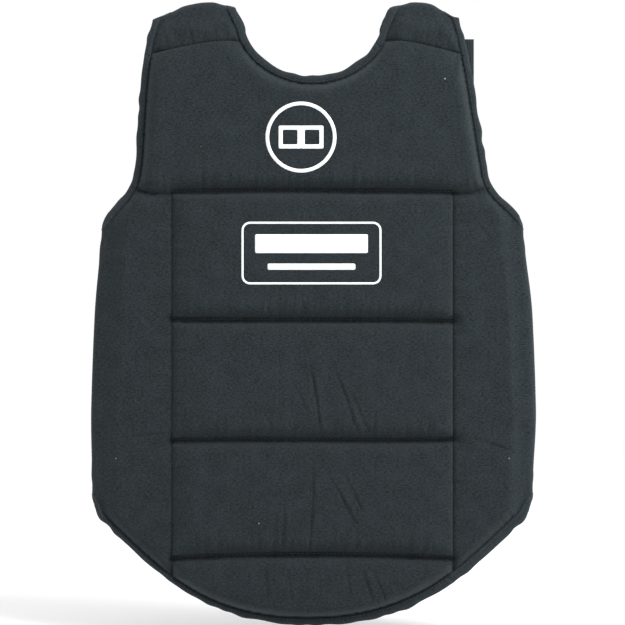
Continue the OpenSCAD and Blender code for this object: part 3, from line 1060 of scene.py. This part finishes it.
def centre_panel():
    """The front between the side seams, from the shoulder seams down to the hem."""
    arm_left, arm_right = armhole_runs(LEFT)[1], armhole_runs(RIGHT)[1]
    hem = joined(mirrored(INNER_HEM), backward(INNER_HEM))
    neck = joined(backward(NECK_FRONT), mirrored(NECK_FRONT))
    cross, *left = seams_of(LEFT)
    right = [seam.mirrored() for seam in seams_of(RIGHT)[1:]]
    runs = [hem, left[0].run, left[1].run, backward(arm_left), backward(left[2].run), neck,
            right[2].run, mirrored(arm_right), backward(right[1].run), backward(right[0].run)]
    seams = [*cross, *left, *right]
    whole_hem = joined(mirrored(HEM), backward(HEM))
    whole_neck = joined(backward(NECK), mirrored(NECK))
    bound = [Edge(hem, whole_hem), Edge(neck, whole_neck),
             Edge(backward(arm_left), backward(ARMHOLE[LEFT])),
             Edge(mirrored(arm_right), mirrored(ARMHOLE[RIGHT]))]
    return Panel("front_panel", runs, seams, seams, bound, CORE_RISE, 3, Flat())


def side_panel(side):
    """The side panel and the wing that it folds back into, in one piece of cloth."""
    halves = (zed(150), zed(150))
    fold = Fold(NAMES[side] + "_wing_fold", side, (ex(205), zed(-340)), halves, pinch=0.32)
    hem = backward(OUTER_HEM)
    bottom = fold.unfold(cubic([(194, -464), (150, -446), (110, -422), (60, -414)]))
    low_corner = fold.unfold(cubic([(60, -414), (48, -412), (40, -408), (40, -396)], 12))
    high_corner = fold.unfold(cubic([(40, -288), (40, -276), (48, -270), (60, -268)], 12))
    top = fold.unfold(cubic([(60, -268), (110, -262), (150, -215), (186, -203)]))
    arm = backward(armhole_runs(side)[2])
    edge = joined(hem, fold.over(hem, fold.crest(zed(-463), 1), bottom), bottom, low_corner,
                  high_corner, top, bridge(top, arm), arm)
    cross, upright, armpit, _ = seams_of(side)
    whole = joined(backward(INNER_HEM), edge, backward(armhole_runs(side)[1]))
    runs = [edge, backward(armpit.run), backward(upright.run)]
    fold_rise = 4.5 * MM if side == LEFT else 2.4 * MM
    return Panel(NAMES[side] + "_side_panel", runs, [*cross, upright, armpit], [],
                 [Edge(edge, whole)], SIDE_RISE, 20 + 7 * side, fold,
                 fold_rise=fold_rise, fold_taper=80 * MM)


def shoulder_panel(side):
    """The shoulder above its seam and the flap that hangs behind, in one piece of cloth."""
    outer_end, outer_top = (ex(30), ex(132)) if side == LEFT else (ex(50), ex(142))
    halves = (outer_end, ex(37))
    fold = Fold(NAMES[side] + "_shoulder_fold", side, (ex(107), 0), halves, pinch=1.0)
    arm = backward(armhole_runs(side)[0])
    outer = fold.unfold(cubic([(146, -22), (150, -60), (154, -90), (154, -132)]))
    outer_corner = fold.unfold(cubic([(154, -132), (154, -142), (150, -146), (142, -146)], 12))
    inner_corner = fold.unfold(cubic([(116, -146), (108, -146), (104, -142), (102, -128)], 12))
    inner = fold.unfold(cubic([(102, -128), (98, -90), (70, -60), (66, -14)]))
    neck = backward(NECK_TOP)
    outer_crest = fold.crest(outer_top, 0)
    edge = joined(arm, fold.over(arm, outer_crest, outer), outer, outer_corner, inner_corner, inner,
                  fold.over(inner, fold.crest(ex(79), 0), neck), neck)
    seam = seams_of(side)[3]
    whole = joined(backward(armhole_runs(side)[1]), edge, backward(NECK_FRONT))
    return Panel(NAMES[side] + "_shoulder_panel", [edge, seam.run], [seam], [],
                 [Edge(edge, whole)], SIDE_RISE, 50 + 7 * side, fold,
                 front_top=9.5 * MM, fold_rise=2.4 * MM, fold_taper=12 * MM)


def attach(obj, body):
    """Parents a piece to the front's body when it rides on the front, and otherwise bakes its place
    into its mesh.
    """
    if body == "front":
        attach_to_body(obj, "front")
    else:
        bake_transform(obj)


TAPE_STEP = 2.2 * MM
# Height of a seam's stitches over the cover, and how far the tape's stitches lie inside
# the tape's inner edge.
SEAM_STITCH_RISE, TAPE_STITCH_INSET = 0.2 * MM, 1.5 * MM


def finish_panel(panel, body, seed):
    """Adds a panel's mesh, the tape round its bound edges and all its stitching."""
    panel.build()
    attach(panel.object, body)
    stitched = FLANGE_RISE + 1.1 * TAPE_T
    crown = panel.shape.crown
    layer = OnCover(panel)
    rows = [(layer, seam.run, lambda p: np.full(len(p), SEAM_STITCH_RISE)) for seam in panel.sewn]
    tapes = []
    for i, edge in enumerate(panel.bound):
        path = spaced(edge.run, TAPE_STEP)
        tapes.append(swept(f"{panel.name}_binding_{i + 1}", panel.shape, path, seed + i))
        attach(tapes[-1], body)
        inset = tape_width(path, panel.shape.side) - TAPE_STITCH_INSET
        inner = path + left_of(headings(path)) * inset[:, None]
        rows.append((panel.shape, inner, lambda p: stitched * (1 - TAPE_PRESS * crown(p))))
    thread = stitches(panel.name + "_stitching", rows)
    attach(thread, body)
    return tapes, thread


CENTRE = centre_panel()
SIDES = {side: side_panel(side) for side in (LEFT, RIGHT)}
SHOULDERS = {side: shoulder_panel(side) for side in (LEFT, RIGHT)}

tapes, thread = finish_panel(CENTRE, "front", 100)
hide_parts("front_cover", "front_lining", "chest_pad", "upper_rib_pad",
            "lower_rib_pad", "belly_pad", "hem_pad")
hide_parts("quilting_thread")
for tape, edge_name in zip(tapes, ["hem", "neck", "left_armhole", "right_armhole"]):
    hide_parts(edge_name + "_binding")
for side, name in NAMES.items():
    tapes, _ = finish_panel(SIDES[side], name + "_wing", 130 + 10 * side)
    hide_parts(name + "_wing_binding")
    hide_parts(*(name + part for part in (
        "_side_bend", "_wing_cover", "_wing_lining", "_wing_pad", "_side_pad")))
    tapes, _ = finish_panel(SHOULDERS[side], name + "_flap", 160 + 10 * side)
    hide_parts(name + "_flap_binding")
    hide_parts(*(name + part for part in (
        "_shoulder_bend", "_flap_cover", "_flap_lining", "_flap_pad", "_collar_pad")))


# ---------------------------------------------------------------- printed marks

def circle(centre, radius):
    x, z = centre
    turns = [math.radians(5 * k) for k in range(72)]
    return np.array([(x + radius * math.cos(a), z + radius * math.sin(a)) for a in turns])


def box_round(centre, width, height, radius):
    """A rounded rectangle round a centre."""
    x, z = centre
    return rounded_box(x - width / 2, x + width / 2, z - height / 2, z + height / 2,
                       radius, 1.5 * MM)


# The ink's top and underside over the cover, and the size of its mesh.
PRINT_TOP, PRINT_UNDER, PRINT_STEP = 0.35 * MM, 0.05 * MM, 1.6 * MM
RING_LINE, PLATE_LINE = 3.5 * MM, 2 * MM
SQUARE_OUT, SQUARE, SQUARE_HOLE = 10.5 * MM, 22 * MM, 14 * MM


def printed(name, outline, holes=()):
    obj = plate(name, outline, ON_CENTRE, PRINT_TOP, PRINT_UNDER, PRINT, PRINT_STEP, holes)
    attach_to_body(obj, "front")
    return obj


def centre_of(node):
    """The middle of a CAD piece's box seen from the front, with its width and height."""
    low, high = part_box(node)
    return np.array([(low.x + high.x) / 2, (low.z + high.z) / 2]), high.x - low.x, high.z - low.z


ON_CENTRE = OnCover(CENTRE)
middle, wide, _ = centre_of("chest_emblem")
ring = printed("chest_ring", circle(middle, wide / 2), [circle(middle, wide / 2 - RING_LINE)])
for side in (LEFT, RIGHT):
    at = middle + (side * SQUARE_OUT, 0)
    printed(NAMES[side] + "_chest_square", box_round(at, SQUARE, SQUARE, 1 * MM),
            [box_round(at, SQUARE_HOLE, SQUARE_HOLE, 0.6 * MM)])
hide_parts("chest_emblem")
middle, wide, high = centre_of("belly_emblem")
border = printed("belly_plate", box_round(middle, wide, high, 8 * MM),
                 [box_round(middle, wide - 2 * PLATE_LINE, high - 2 * PLATE_LINE, 6 * MM)])
printed("belly_bar_wide", box_round(middle + (0, 9 * MM), 108 * MM, 18 * MM, 1 * MM))
printed("belly_bar_thin", box_round(middle - (0, 13 * MM), 84 * MM, 6 * MM, 1 * MM))
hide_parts("belly_emblem")


# ---------------------------------------------------------------- straps and patches

STRAP_T = 1.5 * MM
# The webbing's turn round its hinge, and how much closer to the panel its sewn end lies.
STRAP_TURN, SEWN_DROP = 1.95 * MM, 1.1 * MM
# Where the sewn end stops lying flat, counted from the hinge, and the length of its rise.
SEWN_FLAT, SEWN_RISE = 27 * MM, 20 * MM
# How deep a patch, its stitches and a hook tab sink into what they lie on.
SINK = 0.3 * MM


def strap_path(hinge, along, sewn_reach, stored_reach):
    """Webbing's centre line: from its sewn end to the hinge, round it and back."""
    y = np.array((0, 1, 0))
    along, hinge = np.array(along), np.array(hinge)
    points = []
    for s in np.linspace(sewn_reach, 0, 24):
        drop = SEWN_DROP * (1 - smooth((SEWN_FLAT - s) / SEWN_RISE))
        points.append(hinge + along * s + y * (-STRAP_TURN - drop))
    for k in range(1, 12):
        a = math.radians(-90 - 15 * k)
        points.append(hinge + (along * math.cos(a) + y * math.sin(a)) * STRAP_TURN)
    for s in np.linspace(0, stored_reach, 24):
        sway = 0.25 * MM * math.sin(s / stored_reach * math.pi * 3)
        points.append(hinge + along * s + y * (STRAP_TURN + sway))
    return points


def strap(name, joint_name, sewn_node, strap_node, hook_node, along, across, child):
    """A strap from its sewn end to its hook tab, folded back at its joint."""
    sewn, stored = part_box(sewn_node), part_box(strap_node)
    axis = 0 if along[0] else 2
    other = 2 - axis
    hinge = list(joint_named(joint_name)["pos_m"])
    hinge[other] = (sewn[0][other] + sewn[1][other]) / 2
    path = strap_path(hinge, along, sewn[1][axis] - hinge[axis], stored[1][axis] - hinge[axis])
    width = sewn[1][other] - sewn[0][other]
    obj = ribbon(name, path, across, width, STRAP_T, ELASTIC)
    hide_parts(sewn_node, strap_node)
    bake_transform(obj)
    low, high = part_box(hook_node)
    tab = plate(name + "_tab", rounded_box(low.x, high.x, low.z, high.z, 4 * MM), Behind(low.y),
                high.y - low.y, -SINK, HOOK, 2.5 * MM)
    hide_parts(hook_node)
    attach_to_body(tab, child)


# Each kind of patch: material, slot, thickness, and how far inside its edge it is sewn.
PLAIN_PATCH = (COVER, "cover", 0.9 * MM, 4 * MM)
LOOP_PATCH = (LOOP, "loop_tape", 1.1 * MM, 2.5 * MM)


def cloth_patch(node, panel, body, kind):
    """A patch sewn flat on a panel's cover behind the vest, with a row of stitches."""
    material, slot_name, rise, inset = kind
    side = panel.shape.side
    low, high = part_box(node)
    x0, x1 = sorted((low.x * side, high.x * side))
    layer = OnCover(panel)

    def flat_box(grow):
        corners = rounded_box(x0 - grow, x1 + grow, low.z - grow, high.z + grow, 3 * MM)
        unfolded = panel.shape.unfold([Vector(p) for p in corners])
        return np.array([tuple(p) for p in unfolded])[::-1]

    obj = plate(node + "_cloth", flat_box(0), layer, rise, -SINK, material)
    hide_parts(node)
    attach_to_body(obj, body)
    row = [tuple(p) for p in flat_box(-inset)]
    row.append(row[0])
    thread = stitches(node + "_stitching", [(layer, row, lambda p: np.full(len(p), rise - SINK))])
    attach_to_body(thread, body)


for side, name in NAMES.items():
    strap(name + "_shoulder_webbing", name + "_flap_strap_fold", name + "_shoulder_strap_end",
          name + "_shoulder_strap", name + "_shoulder_hook", (0, 0, 1), (1, 0, 0),
          name + "_flap_strap")
    cloth_patch(name + "_flap_patch", SHOULDERS[side], name + "_flap", PLAIN_PATCH)
    cloth_patch(name + "_wing_loop", SIDES[side], name + "_wing", LOOP_PATCH)
for level in ("upper", "lower"):
    strap(level + "_closing_webbing", level + "_strap_fold", level + "_strap_end", level + "_strap",
          level + "_hook", (1, 0, 0), (0, 0, 1), level + "_closing_strap")
cloth_patch("strap_anchor", SIDES[LEFT], "left_wing", PLAIN_PATCH)
cloth_patch("closure_loop", SIDES[RIGHT], "right_wing", LOOP_PATCH)

low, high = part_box("size_label")
label = plate("size_label_ribbon", rounded_box(low.x, high.x, low.z, high.z, 1 * MM), Behind(low.y),
              high.y - low.y, 0, LABEL)
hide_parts("size_label")
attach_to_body(label, "front")


# ---------------------------------------------------------------- floor, light and camera

FLOOR_GAP, FLOOR_HALF = 10 * MM, 4.0
KEY_PLACE, KEY_SIZE, KEY_POWER = (1.0, -1.3, 1.0), (1.2, 0.9), 58
CAMERA_DISTANCE, PICTURE_WIDTH, CAMERA_DROP = 3.2, 0.603, 0.6 * MM


def pale_floor():
    """A wide pale floor just under the vest."""
    z, half = CAD_LOW.z - FLOOR_GAP, FLOOR_HALF
    vertices = [(-half, -half, z), (half, -half, z), (half, half, z), (-half, half, z)]
    mesh = bpy.data.meshes.new("floor")
    mesh.from_pydata(vertices, [], [(0, 1, 2, 3)])
    n = Nodes("floor_paper")
    mesh.materials.append(n.finish((0.97, 0.97, 0.97, 1), 0.9))
    floor = bpy.data.objects.new("floor", mesh)
    bpy.context.scene.collection.objects.link(floor)
    floor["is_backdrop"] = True


def soft_light(name, place, target, size, power):
    light = bpy.data.lights.new(name, "AREA")
    light.shape, light.size, light.size_y, light.energy = "RECTANGLE", size[0], size[1], power
    obj = bpy.data.objects.new(name, light)
    obj.location = place
    obj.rotation_euler = (Vector(target) - Vector(place)).to_track_quat("-Z", "Y").to_euler()
    bpy.context.scene.collection.objects.link(obj)


def studio():
    """White surroundings and one soft key light, high on the camera's right."""
    world = bpy.data.worlds.new("studio")
    world.use_nodes = True
    world.node_tree.nodes["Background"].inputs["Color"].default_value = (1, 1, 1, 1)
    world.node_tree.nodes["Background"].inputs["Strength"].default_value = 1.0
    bpy.context.scene.world = world
    middle = Vector((0, 0, (CAD_LOW.z + CAD_HIGH.z) / 2))
    soft_light("key", KEY_PLACE, middle, KEY_SIZE, KEY_POWER)
    bpy.context.scene.view_settings.view_transform = "Standard"


def photo_camera():
    """A level camera in front of the vest's middle."""
    camera = bpy.data.cameras.new("camera")
    camera.sensor_width = 36
    camera.lens = camera.sensor_width * CAMERA_DISTANCE / PICTURE_WIDTH
    obj = bpy.data.objects.new("camera", camera)
    obj.location = (0, -CAMERA_DISTANCE, (CAD_LOW.z + CAD_HIGH.z) / 2 - CAMERA_DROP)
    obj.rotation_euler = (math.radians(90), 0, 0)
    bpy.context.scene.collection.objects.link(obj)
    bpy.context.scene.camera = obj


pale_floor()
studio()
photo_camera()
low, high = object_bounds()
{"cad": [list(CAD_LOW), list(CAD_HIGH)], "visual": [list(low), list(high)]}
